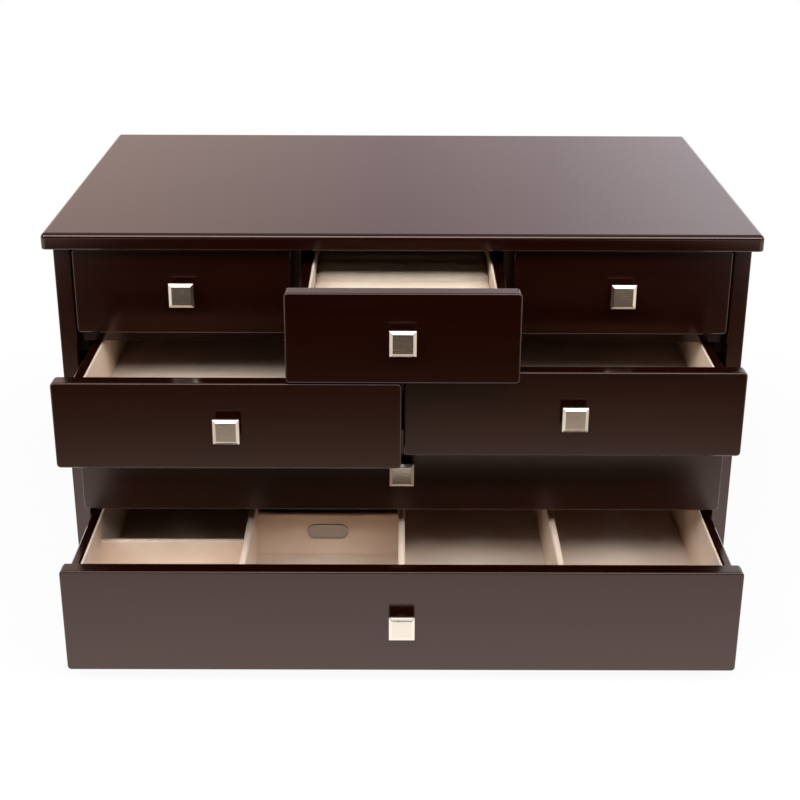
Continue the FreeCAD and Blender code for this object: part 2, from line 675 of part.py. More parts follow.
def make_plate(middle):
    """Blank oval plate: straight above and below, half round at both ends."""
    plate = new_body("blank_plate", middle)
    sketch = new_sketch(plate, "XZ_Plane")
    straight = less(size("plate_wide"), size("plate_high"))
    reach = number(straight) / 2
    radius = number(size("plate_high")) / 2
    quarter = 3.141592653589793 / 2
    up = FreeCAD.Vector(0, 0, 1)
    right = Part.Circle(FreeCAD.Vector(reach, 0, 0), up, radius)
    left = Part.Circle(FreeCAD.Vector(-reach, 0, 0), up, radius)
    foot = -radius
    sketch.addGeometry(Part.LineSegment(FreeCAD.Vector(-reach, foot, 0), FreeCAD.Vector(reach, foot, 0)), False)
    sketch.addGeometry(Part.ArcOfCircle(right, -quarter, quarter), False)
    sketch.addGeometry(Part.LineSegment(FreeCAD.Vector(reach, radius, 0), FreeCAD.Vector(-reach, radius, 0)), False)
    sketch.addGeometry(Part.ArcOfCircle(left, quarter, 3 * quarter), False)
    for line, arc in ((0, 1), (2, 3)):
        before = (arc + 1) % 4
        sketch.addConstraint(Sketcher.Constraint("Tangent", line, 2, arc, 1))
        sketch.addConstraint(Sketcher.Constraint("Tangent", arc, 2, before, 1))
        sketch.addConstraint(Sketcher.Constraint("Horizontal", line))
    sketch.addConstraint(Sketcher.Constraint("Symmetric", 1, 3, 3, 3, -1, 1))
    bind(sketch, "DistanceX", 0, 1, 0, 2, "straight", straight)
    bind(sketch, "DistanceY", 0, 2, 1, 2, "high", size("plate_high"))
    pad(plate, sketch, size("plate_thick"))
    keep(plate)


DRAWERS = (
    Drawer("top_left", "top", 0),
    Drawer("top_centre", "top", 1, size("top_centre_open")),
    Drawer("top_right", "top", 2),
    Drawer("second_left", "second", 0, size("second_left_open")),
    Drawer("second_right", "second", 1, size("second_right_open")),
    Drawer("third", "third", 0, size("third_open")),
    Drawer("bottom", "bottom", 0, size("bottom_open")),
)


def make_all():
    """Every sub-part of the jewelry box."""
    make_top_slab()
    make_side_panels()
    make_back_panel()
    make_base_board()
    make_dust_board("upper_dust_board", "top")
    make_dust_board("middle_dust_board", "second")
    make_dust_board("lower_dust_board", "third")
    make_partitions()
    make_side_guides()
    make_felt()
    for drawer in DRAWERS:
        drawer.make()
        if drawer.name == "top_centre":
            make_ring_rolls(drawer)
        if drawer.name == "bottom":
            make_dividers(drawer)


def check_all():
    """Stop if an object failed, a cut removed nothing or a sub-part isn't a valid solid."""
    for item in doc.Objects:
        if "Invalid" in item.State or "Error" in item.State:
            raise RuntimeError(f"{item.Label} failed: {item.State}")
    for feature in cuts:
        removed = feature.BaseFeature.Shape.Volume - feature.Shape.Volume
        if removed <= 0:
            raise RuntimeError(f"{feature.Label} cuts nothing")
    for piece in subparts:
        if piece.Shape.isNull() or not piece.Shape.isValid() or not piece.Shape.Solids:
            raise RuntimeError(f"{piece.Label} is not a valid solid")


make_all()
doc.recompute()
check_all()
os.makedirs("parts", exist_ok=True)
for piece in subparts:
    piece.Shape.exportStep(f"parts/{piece.Label}.step")
print(f"{len(subparts)} sub-parts written")
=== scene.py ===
"""Looks of a wooden jewelry box: dark lacquered boards, suede-lined drawers and satin nickel knobs.

Each piece takes its place and size from the CAD node that it stands for, in metres, and rides on that
node's body. The studio has the photograph's angle and its soft light.
"""

import logging
import math
from dataclasses import dataclass
from enum import Enum, IntEnum

import bmesh
import bpy
from mathutils import Matrix, Vector, noise


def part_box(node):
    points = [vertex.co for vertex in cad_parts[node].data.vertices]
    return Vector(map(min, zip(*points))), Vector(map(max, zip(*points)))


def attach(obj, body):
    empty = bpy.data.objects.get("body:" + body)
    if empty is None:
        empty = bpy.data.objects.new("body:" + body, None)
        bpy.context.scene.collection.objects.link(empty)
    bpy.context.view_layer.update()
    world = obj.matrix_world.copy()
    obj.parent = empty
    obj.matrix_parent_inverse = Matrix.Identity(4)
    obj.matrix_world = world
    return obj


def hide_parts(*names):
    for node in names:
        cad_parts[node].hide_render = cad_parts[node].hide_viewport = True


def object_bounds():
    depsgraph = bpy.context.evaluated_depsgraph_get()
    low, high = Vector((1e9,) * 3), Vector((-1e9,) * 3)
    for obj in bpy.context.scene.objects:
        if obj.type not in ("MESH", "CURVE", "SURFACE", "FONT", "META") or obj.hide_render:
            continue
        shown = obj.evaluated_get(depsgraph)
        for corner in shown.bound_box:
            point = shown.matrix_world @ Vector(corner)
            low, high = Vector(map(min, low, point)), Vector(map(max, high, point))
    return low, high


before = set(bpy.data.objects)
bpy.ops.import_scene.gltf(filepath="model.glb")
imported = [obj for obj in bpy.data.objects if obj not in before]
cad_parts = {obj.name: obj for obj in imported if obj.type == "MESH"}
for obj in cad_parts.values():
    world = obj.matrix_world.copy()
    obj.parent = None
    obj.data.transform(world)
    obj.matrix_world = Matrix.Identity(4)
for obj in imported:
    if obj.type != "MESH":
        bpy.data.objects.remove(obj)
CAD_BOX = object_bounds()

LOG = logging.getLogger("jewelry_box")
MM = 0.001
SAME_LEVEL = 0.02 * MM
CUT_SNAP = 1e-7
SHARP_ANGLE = math.radians(35)
BY_FACE_AREA = 100
RIGHT = Vector((1, 0, 0))
REAR = Vector((0, 1, 0))
UP = Vector((0, 0, 1))
WHITE = (1.0, 1.0, 1.0)
WHOLE = (0.0, 1.0)
DRAWERS = ("top_left", "top_centre", "top_right", "second_left", "second_right", "third", "bottom")

Colour = tuple[float, float, float]
Place = tuple[float, float, float]
Range = tuple[float, float]
Stops = tuple[tuple[float, float, float, float], ...]
Socket = bpy.types.NodeSocket


class Axis(IntEnum):
    """The frame's axes, as places in a vector."""

    X = 0
    Y = 1
    Z = 2


class Grain(Enum):
    """Ways that a board's grain runs, each with the Mapping scale that draws the pattern out along it."""

    ACROSS = (0.08, 1.0, 1.0)
    DEEP = (1.0, 0.08, 1.0)


@dataclass(frozen=True)
class Rounding:
    """Rounded edge: its radius in metres and the flats that make it up."""

    radius: float
    flats: int


@dataclass
class Graph:
    """A node tree and short ways to fill it."""

    tree: bpy.types.NodeTree

    def feed(self, target: Socket, value: object) -> None:
        """Gives an input its value.

        Args:
            target: The input.
            value: An output to link, a number, or a colour as red, green and blue.
        """
        if isinstance(value, Socket):
            self.tree.links.new(value, target)
        elif target.type == "RGBA":
            target.default_value = (*value, 1.0)
        else:
            target.default_value = value

    def adjust(self, node: bpy.types.Node, **settings: object) -> bpy.types.Node:
        """Sets a node's properties and inputs.

        Args:
            node: The node.
            **settings: Its properties, or its inputs by name, with spaces as underscores.

        Returns:
            The same node.
        """
        for key, value in settings.items():
            if hasattr(node, key):
                setattr(node, key, value)
            else:
                self.feed(node.inputs[key.replace("_", " ")], value)
        return node

    def node(self, kind: str, **settings: object) -> bpy.types.Node:
        """Adds a node of a type such as ShaderNodeMix, and adjusts it."""
        return self.adjust(self.tree.nodes.new(kind), **settings)

    def calculate(self, operation: str, first: object, second: object = 0.0, clamp: bool = False) -> Socket:
        """Adds a Math node.

        Args:
            operation: Its operation, such as MULTIPLY.
            first: An output or a number.
            second: An output or a number.
            clamp: Whether the result stays between 0 and 1.

        Returns:
            The result.
        """
        made = self.node("ShaderNodeMath", operation=operation, use_clamp=clamp)
        self.feed(made.inputs[0], first)
        self.feed(made.inputs[1], second)
        return made.outputs[0]

    def remap(self, value: Socket, source: Range, target: Range = WHOLE, curve: str = "LINEAR") -> Socket:
        """Stretches a range of a value to another range and holds it at the ends.

        Args:
            value: The value.
            source: The range that it comes in.
            target: The range that it leaves in.
            curve: LINEAR, or SMOOTHSTEP for soft ends.

        Returns:
            The new value.
        """
        made = self.node("ShaderNodeMapRange", interpolation_type=curve, Value=value, From_Min=source[0],
                         From_Max=source[1], To_Min=target[0], To_Max=target[1])
        return made.outputs["Result"]

    def mix(self, factor: object, low: object, high: object, blend: str = "MIX") -> Socket:
        """Mixes two colours.

        Args:
            factor: Share of the second colour, as an output or a number.
            low: The first colour, as an output or as red, green and blue.
            high: The second colour.
            blend: The way of mixing, such as LIGHTEN.

        Returns:
            The mixed colour.
        """
        made = self.node("ShaderNodeMix", data_type="RGBA", blend_type=blend, Factor=factor, A=low, B=high)
        return made.outputs["Result"]

    def mix_shaders(self, factor: Socket, low: bpy.types.Node, high: bpy.types.Node) -> bpy.types.Node:
        """Mixes two shaders.

        Args:
            factor: Share of the second shader.
            low: The first shader's node.
            high: The second shader's node.

        Returns:
            The node that mixes them.
        """
        made = self.node("ShaderNodeMixShader", Fac=factor)
        self.feed(made.inputs[1], low.outputs[0])
        self.feed(made.inputs[2], high.outputs[0])
        return made

    def ramp(self, value: Socket, stops: Stops) -> Socket:
        """Colours a value by a ramp.

        Args:
            value: The value, from 0 to 1.
            stops: Place, red, green and blue of each stop, the first at 0 and the last at 1.

        Returns:
            The colour.
        """
        made = self.node("ShaderNodeValToRGB", Fac=value)
        elements = made.color_ramp.elements
        elements[0].color = (*stops[0][1:], 1.0)
        elements[1].color = (*stops[-1][1:], 1.0)
        for place, *colour in stops[1:-1]:
            elements.new(place).color = (*colour, 1.0)
        return made.outputs["Color"]

    def noise_field(self, place: Socket, scale: object, **settings: float) -> Socket:
        """Adds a noise texture at some coordinates; settings are its Detail, Roughness and Distortion."""
        return self.node("ShaderNodeTexNoise", Vector=place, Scale=scale, **settings).outputs["Fac"]

    def draw_out(self, place: Socket, scale: Place) -> Socket:
        """Scales coordinates along each axis."""
        return self.node("ShaderNodeMapping", Vector=place, Scale=scale).outputs["Vector"]

    def emboss(self, shader: bpy.types.Node, height: Socket, strength: float, depth: float) -> None:
        """Joins a height to a shader's normal.

        Args:
            shader: The shader.
            height: The height, from 0 to 1.
            strength: The bump's strength.
            depth: The bump's depth in metres.
        """
        bump = self.node("ShaderNodeBump", Height=height, Strength=strength, Distance=depth)
        self.adjust(shader, Normal=bump.outputs["Normal"])


def new_group(name: str, inputs: dict[str, float], outputs: tuple[str, ...]) -> Graph:
    """Starts a shader node group with a vector input and value sockets.

    Args:
        name: The group's name.
        inputs: Value inputs and their defaults.
        outputs: Names of the value outputs.

    Returns:
        The group's graph, with its Group Input and Group Output nodes.
    """
    group = bpy.data.node_groups.new(name, "ShaderNodeTree")
    group.interface.new_socket("Vector", in_out="INPUT", socket_type="NodeSocketVector")
    for label, value in inputs.items():
        socket = group.interface.new_socket(label, in_out="INPUT", socket_type="NodeSocketFloat")
        socket.default_value = value
    for label in outputs:
        group.interface.new_socket(label, in_out="OUTPUT", socket_type="NodeSocketFloat")
    group.nodes.new("NodeGroupInput")
    group.nodes.new("NodeGroupOutput")
    return Graph(group)


class Effects:
    """Node groups that several materials share."""

    def __init__(self) -> None:
        """Builds the groups once."""
        self.grain = self.build_grain()
        self.nap = self.build_nap()
        self.brushing = self.build_brushing()

    @staticmethod
    def build_grain() -> bpy.types.NodeTree:
        """Wood under lacquer: long streaks, fine pores and the film's slight unevenness.

        Returns:
            The group: Tone runs from 0 to 1, Film is the film's cloudiness, Height feeds a Bump.
        """
        graph = new_group("grain_under_lacquer", {"Streaks": 160.0, "Pores": 900.0},
                          ("Tone", "Film", "Height"))
        given = graph.tree.nodes["Group Input"].outputs
        film_scale = 11.0
        pore_depth = 0.08
        streaks = graph.noise_field(given["Vector"], given["Streaks"], Detail=6.0, Roughness=0.62,
                                    Distortion=0.35)
        pores = graph.noise_field(given["Vector"], given["Pores"], Detail=3.0, Roughness=0.7)
        film = graph.noise_field(given["Vector"], film_scale, Detail=2.0, Roughness=0.45)
        dots = graph.remap(pores, (0.62, 0.74))
        height = graph.calculate("SUBTRACT", film, graph.calculate("MULTIPLY", dots, pore_depth))
        graph.adjust(graph.tree.nodes["Group Output"], Tone=graph.remap(streaks, (0.32, 0.72)), Film=film,
                     Height=height)
        return graph.tree

    @staticmethod
    def build_nap() -> bpy.types.NodeTree:
        """Short nap of suede cloth: brushed patches and fine fibre.

        Returns:
            The group: Patch runs from 0 to 1, Fibre is the fine fleck, Height feeds a Bump.
        """
        graph = new_group("short_nap", {"Patches": 55.0, "Fibres": 2600.0}, ("Patch", "Fibre", "Height"))
        given = graph.tree.nodes["Group Input"].outputs
        patch_height = 0.6
        patches = graph.noise_field(given["Vector"], given["Patches"], Detail=3.0, Roughness=0.55)
        fibres = graph.noise_field(given["Vector"], given["Fibres"], Detail=4.0, Roughness=0.75)
        height = graph.calculate("ADD", fibres, graph.calculate("MULTIPLY", patches, patch_height))
        graph.adjust(graph.tree.nodes["Group Output"], Patch=graph.remap(patches, (0.35, 0.68)),
                     Fibre=fibres, Height=height)
        return graph.tree

    @staticmethod
    def build_brushing() -> bpy.types.NodeTree:
        """Fine brush lines of satin plating.

        Returns:
            The group: Line is the brush line's shade, Height feeds a Bump.
        """
        graph = new_group("satin_brushing", {"Lines": 1800.0}, ("Line", "Height"))
        given = graph.tree.nodes["Group Input"].outputs
        along_x = graph.draw_out(given["Vector"], (0.05, 1.0, 1.0))
        lines = graph.noise_field(along_x, given["Lines"], Detail=4.0, Roughness=0.6)
        graph.adjust(graph.tree.nodes["Group Output"], Line=lines, Height=lines)
        return graph.tree


def start_material(name: str) -> tuple[bpy.types.Material, Graph, bpy.types.Node, Socket]:
    """Makes a material with its Principled shader.

    Args:
        name: The material's name.

    Returns:
        The material, its graph, the shader's node and the Object coordinates.
    """
    material = bpy.data.materials.new(name)
    material.use_nodes = True
    graph = Graph(material.node_tree)
    shader = graph.tree.nodes["Principled BSDF"]
    return material, graph, shader, graph.node("ShaderNodeTexCoord").outputs["Object"]


@dataclass(frozen=True)
class LacqueredWood:
    """Stained boards under satin lacquer, with gloss as the range of the film's roughness."""

    name: str
    grain: Grain
    dark: Colour = (0.0088, 0.0010, 0.0004)
    light: Colour = (0.0130, 0.0019, 0.0009)
    gloss: Range = (0.12, 0.17)
    ior: float = 1.65
    tint: Colour = (1.0, 0.78, 0.72)
    streaks: float = 160.0
    relief: float = 0.12
    relief_depth: float = 0.4 * MM

    def build(self, effects: Effects) -> bpy.types.Material:
        """Makes the material.

        Args:
            effects: The shared node groups.

        Returns:
            The material.
        """
        material, graph, shader, place = start_material(self.name)
        wood = graph.node("ShaderNodeGroup", node_tree=effects.grain, Streaks=self.streaks,
                          Vector=graph.draw_out(place, self.grain.value)).outputs
        graph.adjust(shader, Base_Color=graph.mix(wood["Tone"], self.dark, self.light),
                     Roughness=graph.remap(wood["Film"], WHOLE, self.gloss), IOR=self.ior,
                     Specular_Tint=self.tint)
        graph.emboss(shader, wood["Height"], self.relief, self.relief_depth)
        return material


@dataclass(frozen=True)
class SuedeCloth:
    """Cloth with a short nap, glued on card or sewn over foam."""

    name: str
    dark: Colour
    light: Colour
    sheen: float = 0.12
    sheen_roughness: float = 0.5
    roughness: Range = (0.88, 1.0)
    shine: float = 0.15
    patch_share: float = 0.65
    relief: float = 0.25
    pile: float = 0.25 * MM

    def build(self, effects: Effects) -> bpy.types.Material:
        """Makes the material.

        Args:
            effects: The shared node groups.

        Returns:
            The material.
        """
        material, graph, shader, place = start_material(self.name)
        nap = graph.node("ShaderNodeGroup", node_tree=effects.nap, Vector=place).outputs
        patches = graph.calculate("MULTIPLY", nap["Patch"], self.patch_share)
        fibres = graph.calculate("MULTIPLY", nap["Fibre"], 1.0 - self.patch_share)
        shade = graph.calculate("ADD", patches, fibres, clamp=True)
        graph.adjust(shader, Base_Color=graph.mix(shade, self.dark, self.light),
                     Roughness=graph.remap(nap["Fibre"], WHOLE, self.roughness),
                     Specular_IOR_Level=self.shine, Sheen_Weight=self.sheen,
                     Sheen_Roughness=self.sheen_roughness, Sheen_Tint=self.light)
        graph.emboss(shader, nap["Height"], self.relief, self.pile)
        return material


@dataclass(frozen=True)
class SatinMetal:
    """Plated or plain metal with fine brush lines."""

    name: str
    dark: Colour
    light: Colour
    gloss: Range = (0.22, 0.30)
    relief: float = 0.05
    relief_depth: float = 0.05 * MM

    def build(self, effects: Effects) -> bpy.types.Material:
        """Makes the material.

        Args:
            effects: The shared node groups.

        Returns:
            The material.
        """
        material, graph, shader, place = start_material(self.name)
        brushed = graph.node("ShaderNodeGroup", node_tree=effects.brushing, Vector=place).outputs
        graph.adjust(shader, Base_Color=graph.mix(brushed["Line"], self.dark, self.light),
                     Roughness=graph.remap(brushed["Line"], WHOLE, self.gloss), Metallic=1.0)
        graph.emboss(shader, brushed["Height"], self.relief, self.relief_depth)
        return material


class Finishes:
    """Every material of the box, each with a name that none of the frame's plain materials has."""

    def __init__(self, effects: Effects) -> None:
        """Builds the materials.

        Args:
            effects: The shared node groups.
        """
        self.lengthwise = LacqueredWood("lacquer_grain_across", Grain.ACROSS).build(effects)
        self.duller = LacqueredWood("lacquer_duller_front", Grain.ACROSS, gloss=(0.24, 0.30)).build(effects)
        self.deep = LacqueredWood("lacquer_grain_deep", Grain.DEEP).build(effects)
        self.inside = LacqueredWood("lacquer_inside", Grain.DEEP, gloss=(0.3, 0.4)).build(effects)
        # The side guides are drawn near black, darker than the lacquered boards: painted shade for where
        # they sit deep in the case's shadow.
        self.guide = LacqueredWood("guide_wood_painted_dark", Grain.DEEP, dark=(0.003, 0.0018, 0.0013),
                                   light=(0.006, 0.0036, 0.0026), gloss=(0.6, 0.7), ior=1.2).build(effects)
        self.lining = SuedeCloth("suede_lining", (0.79, 0.62, 0.495), (0.87, 0.715, 0.59)).build(effects)
        # The rolls' suede is a darker copy of the lining suede: painted shade that tones the rolls down
        # where the lamps light them strongly.
        self.roll = SuedeCloth("suede_rolls_painted_darker", (0.63, 0.51, 0.41), (0.70, 0.585, 0.48)).build(effects)
        self.felt = SuedeCloth("underside_felt", (0.026, 0.0145, 0.0115), (0.045, 0.025, 0.020),
                               relief=0.6).build(effects)
        self.nickel = SatinMetal("satin_nickel", (0.66, 0.595, 0.52), (0.74, 0.67, 0.595)).build(effects)
        self.steel = SatinMetal("zinc_steel", (0.50, 0.50, 0.50), (0.62, 0.62, 0.61)).build(effects)
        self.plate = SatinMetal("satin_plate", (0.395, 0.360, 0.320), (0.445, 0.410, 0.370),
                                gloss=(0.36, 0.46)).build(effects)


def box_mesh(low: Vector, high: Vector) -> bmesh.types.BMesh:
    """Starts a bmesh as a box.

    Args:
        low: Lowest corner.
        high: Highest corner.

    Returns:
        The bmesh.
    """
    shape = bmesh.new()
    bmesh.ops.create_cube(shape, size=1.0)
    bmesh.ops.scale(shape, verts=shape.verts, vec=high - low)
    bmesh.ops.translate(shape, verts=shape.verts, vec=(low + high) / 2)
    return shape


def at_level(shape: bmesh.types.BMesh, axis: Axis, level: float) -> list[bmesh.types.BMEdge]:
    """Finds the edges whose two ends lie at one level of an axis."""
    return [edge for edge in shape.edges if all(abs(v.co[axis] - level) < SAME_LEVEL for v in edge.verts)]


def along(shape: bmesh.types.BMesh, axis: Axis) -> list[bmesh.types.BMEdge]:
    """Finds the straight edges that run along an axis."""
    others = [other for other in Axis if other != axis]
    return [edge for edge in shape.edges
            if all(abs(edge.verts[0].co[i] - edge.verts[1].co[i]) < SAME_LEVEL for i in others)]


def round_edges(shape: bmesh.types.BMesh, edges: list[bmesh.types.BMEdge], rounding: Rounding) -> None:
    """Rounds edges with a bevel."""
    bmesh.ops.bevel(shape, geom=edges, offset=rounding.radius, offset_type="OFFSET", affect="EDGES",
                    segments=rounding.flats, profile=0.5, material=-1, clamp_overlap=True)


def cut(shape: bmesh.types.BMesh, point: Vector, normal: Vector, clear: bool = False) -> None:
    """Cuts through a shape with a plane.

    Args:
        shape: The shape.
        point: A point on the plane.
        normal: The plane's normal.
        clear: Whether what lies on the normal's side is dropped.
    """
    bmesh.ops.bisect_plane(shape, geom=shape.verts[:] + shape.edges[:] + shape.faces[:], dist=CUT_SNAP,
                           plane_co=point, plane_no=normal, clear_outer=clear)


def shave_edge(shape: bmesh.types.BMesh, edge_at: Vector, first: Vector, second: Vector,
               rounding: Rounding) -> None:
    """Rounds one straight edge of a convex shape with flat cuts, through whatever meets it.

    Args:
        shape: The shape.
        edge_at: A point on the edge.
        first: Outward direction of one face.
        second: Outward direction of the other face.
        rounding: The rounding, with one cut for each flat.
    """
    centre = edge_at - (first + second) * rounding.radius
    for index in range(1, rounding.flats + 1):
        angle = math.radians(90.0 * index / (rounding.flats + 1))
        normal = first * math.cos(angle) + second * math.sin(angle)
        cut(shape, centre + normal * rounding.radius, normal, clear=True)
        bmesh.ops.holes_fill(shape, edges=shape.edges[:], sides=0)


def covered_board(low: Vector, high: Vector, top: Rounding) -> bmesh.types.BMesh:
    """Starts an upright covered board, rounded along the two long edges of its top.

    Args:
        low: Lowest corner.
        high: Highest corner.
        top: The rounding.

    Returns:
        The bmesh.
    """
    shape = box_mesh(low, high)
    longer = Axis.X if high.x - low.x > high.y - low.y else Axis.Y
    long_edges = along(shape, longer)
    round_edges(shape, [edge for edge in at_level(shape, Axis.Z, high.z) if edge in long_edges], top)
    return shape


def take_in(shape: bmesh.types.BMesh, part: bmesh.types.BMesh) -> None:
    """Adds a finished part to a shape and frees the part.

    Args:
        shape: The bmesh that takes it.
        part: The part.
    """
    mesh = bpy.data.meshes.new("part")
    part.to_mesh(mesh)
    part.free()
    shape.from_mesh(mesh)
    bpy.data.meshes.remove(mesh)


def finish_piece(shape: bmesh.types.BMesh, name: str, material: bpy.types.Material, body: str,
                 replaced: tuple[str, ...] = (), even: bool = True) -> bpy.types.Object:
    """Turns a bmesh into a piece that rides on a body.

    Args:
        shape: The finished bmesh, which is freed.
        name: The piece's name.
        material: Its material.
        body: The body that it rides on.
        replaced: The CAD nodes that it stands for.
        even: Whether weighted normals keep its large faces evenly shaded.

    Returns:
        The piece.
    """
    bmesh.ops.recalc_face_normals(shape, faces=shape.faces)
    mesh = bpy.data.meshes.new(name)
    shape.to_mesh(mesh)
    shape.free()
    mesh.materials.append(material)
    mesh.shade_smooth()
    mesh.set_sharp_from_angle(angle=SHARP_ANGLE)
    piece = bpy.data.objects.new(name, mesh)
    bpy.context.scene.collection.objects.link(piece)
    if even:
        weighted = piece.modifiers.new("even_faces", "WEIGHTED_NORMAL")
        weighted.keep_sharp = True
        weighted.weight = BY_FACE_AREA
    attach(piece, body)
    if replaced:
        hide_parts(*replaced)
    LOG.info("%s: %d faces on %s", name, len(mesh.polygons), body)
    return piece


def paint(node: str, material: bpy.types.Material) -> None:
    """Gives a CAD node its material.

    Args:
        node: The node's name.
        material: The material for all its faces.
    """
    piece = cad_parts[node]
    piece.data.materials.clear()
    piece.data.materials.append(material)
    LOG.info("%s: CAD node in %s", node, material.name)


@dataclass
class Case:
    """The fixed cabinet: top board, sides, back, base, shelves and partitions."""

    finishes: Finishes
    slab_corner: Rounding = Rounding(3.0 * MM, 6)
    slab_top: Rounding = Rounding(2.9 * MM, 6)
    slab_bottom: Rounding = Rounding(1.0 * MM, 3)
    side_front: Rounding = Rounding(0.7 * MM, 4)
    felt_edge: Rounding = Rounding(0.6 * MM, 3)
    body: str = "case"

    def build(self) -> None:
        """Builds the new pieces and dresses the CAD boards."""
        self.build_top()
        self.build_side("left")
        self.build_side("right")
        self.build_felt()
        for node in ("back_panel", "base_board", "upper_dust_board", "middle_dust_board",
                     "lower_dust_board"):
            paint(node, self.finishes.lengthwise)
        for node in ("top_row_partitions", "second_row_partition"):
            paint(node, self.finishes.inside)
        paint("side_guides", self.finishes.guide)

    def build_top(self) -> None:
        """Top board with soft corners and rounded edges."""
        low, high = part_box("top_slab")
        shape = box_mesh(low, high)
        round_edges(shape, along(shape, Axis.Z), self.slab_corner)
        round_edges(shape, at_level(shape, Axis.Z, high.z), self.slab_top)
        round_edges(shape, at_level(shape, Axis.Z, low.z), self.slab_bottom)
        finish_piece(shape, "top_board", self.finishes.lengthwise, self.body, ("top_slab",))

    def build_side(self, hand: str) -> None:
        """Side board with its two upright front edges eased.

        Args:
            hand: left or right.
        """
        low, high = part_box(f"{hand}_side_panel")
        shape = box_mesh(low, high)
        front_edges = [edge for edge in along(shape, Axis.Z) if edge.verts[0].co.y < 0]
        round_edges(shape, front_edges, self.side_front)
        finish_piece(shape, f"{hand}_side_board", self.finishes.deep, self.body,
                     (f"{hand}_side_panel",))

    def build_felt(self) -> None:
        """Felt under the base, soft at its cut edges."""
        low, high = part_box("base_felt")
        shape = box_mesh(low, high)
        round_edges(shape, list(shape.edges), self.felt_edge)
        finish_piece(shape, "underside_felt", self.finishes.felt, self.body, ("base_felt",))


@dataclass
class Knob:
    """Square knob with a bevelled face on a round stem."""

    drawer: str
    finishes: Finishes
    head_depth: float = 3.2 * MM
    bevel_width: float = 1.8 * MM
    bevel_depth: float = 1.2 * MM
    soft_edge: Rounding = Rounding(0.22 * MM, 3)
    stem_radius: float = 3.6 * MM
    stem_sides: int = 40

    def build(self) -> None:
        """Builds the knob where its CAD node stands, and dresses its screw."""
        low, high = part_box(f"{self.drawer}_knob")
        middle = (low + high) / 2
        head_back = low.y + self.head_depth
        shape = box_mesh(low, Vector((high.x, head_back, high.z)))
        cut(shape, REAR * (low.y + self.bevel_depth), REAR)
        face = [vert for vert in shape.verts if abs(vert.co.y - low.y) < SAME_LEVEL]
        left_over = 1.0 - 2.0 * self.bevel_width / (high.x - low.x)
        bmesh.ops.scale(shape, verts=face, vec=(left_over, 1.0, left_over),
                        space=Matrix.Translation(-middle))
        round_edges(shape, list(shape.edges), self.soft_edge)
        stem = bmesh.ops.create_cone(shape, cap_ends=True, segments=self.stem_sides,
                                     radius1=self.stem_radius, radius2=self.stem_radius,
                                     depth=high.y - head_back,
                                     matrix=Matrix.Rotation(math.radians(-90), 4, "X"))
        bmesh.ops.translate(shape, verts=stem["verts"], vec=(middle.x, (head_back + high.y) / 2, middle.z))
        finish_piece(shape, f"{self.drawer}_square_knob", self.finishes.nickel, f"{self.drawer}_drawer",
                     (f"{self.drawer}_knob",))
        paint(f"{self.drawer}_knob_screw", self.finishes.steel)


@dataclass
class Lining:
    """Card walls covered with suede and a thin padded floor."""

    drawer: str
    finishes: Finishes
    card: float = 1.5 * MM
    wall_top: Rounding = Rounding(0.6 * MM, 3)
    pad: float = 4.0 * MM
    row_pitch: float = 5.0 * MM
    fewest_rows: int = 4
    edge_rows: tuple[float, ...] = (0.8 * MM, 1.8 * MM, 3.2 * MM)
    edge_drop: float = 0.9 * MM
    edge_reach: float = 3.2 * MM
    edge_steepness: float = 2.0
    sway: float = 0.12 * MM
    sway_scale: float = 28.0

    def build(self) -> None:
        """Builds the walls and the floor pad inside the CAD lining's box."""
        low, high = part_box(f"{self.drawer}_lining")
        self.build_walls(low, high)
        self.build_pad(low, high)

    def build_walls(self, low: Vector, high: Vector) -> None:
        """Four covered cards, standing on the drawer's floor.

        Args:
            low: Lowest corner of the lining.
            high: Its highest corner.
        """
        shape = bmesh.new()
        left, right = low.x + self.card, high.x - self.card
        for start, end in (((low.x, low.y), (left, high.y)), ((right, low.y), (high.x, high.y)),
                           ((left, low.y), (right, low.y + self.card)),
                           ((left, high.y - self.card), (right, high.y))):
            take_in(shape, covered_board(Vector((*start, low.z)), Vector((*end, high.z)), self.wall_top))
        finish_piece(shape, f"{self.drawer}_lining_walls", self.finishes.lining, f"{self.drawer}_drawer",
                     (f"{self.drawer}_lining",))

    def build_pad(self, low: Vector, high: Vector) -> None:
        """Floor pad: soft along its edges, with the cloth's slight unevenness.

        Args:
            low: Lowest corner of the lining.
            high: Its highest corner.
        """
        low = low + Vector((self.card, self.card, 0))
        high = Vector((high.x - self.card, high.y - self.card, low.z + self.pad))
        shape = box_mesh(low, high)
        for axis, normal in ((Axis.X, RIGHT), (Axis.Y, REAR)):
            for level in self.pad_rows(low[axis], high[axis]):
                cut(shape, normal * level, normal)
        for vert in shape.verts:
            if vert.co.z < high.z - SAME_LEVEL:
                continue
            inset = min(vert.co.x - low.x, high.x - vert.co.x, vert.co.y - low.y, high.y - vert.co.y)
            nearness = max(inset, 0.0) / self.edge_reach
            drop = self.edge_drop * math.exp(-self.edge_steepness * nearness ** 2)
            sway = self.sway * (1.0 + noise.noise(vert.co * self.sway_scale))
            vert.co.z -= drop + sway * min(1.0, inset / self.edge_reach)
        piece = finish_piece(shape, f"{self.drawer}_floor_pad", self.finishes.lining,
                             f"{self.drawer}_drawer")

    def pad_rows(self, start: float, end: float) -> list[float]:
        """Levels of the pad's rows of vertices, closer together near its edges.

        Args:
            start: The pad's lowest level on the axis.
            end: Its highest level.

        Returns:
            The levels between the two.
        """
        count = max(self.fewest_rows, round((end - start) / self.row_pitch))
        near = [start + row for row in self.edge_rows]
        middle = [start + (end - start) * index / count for index in range(1, count)]
        far = [end - row for row in self.edge_rows]
        return near + middle + far


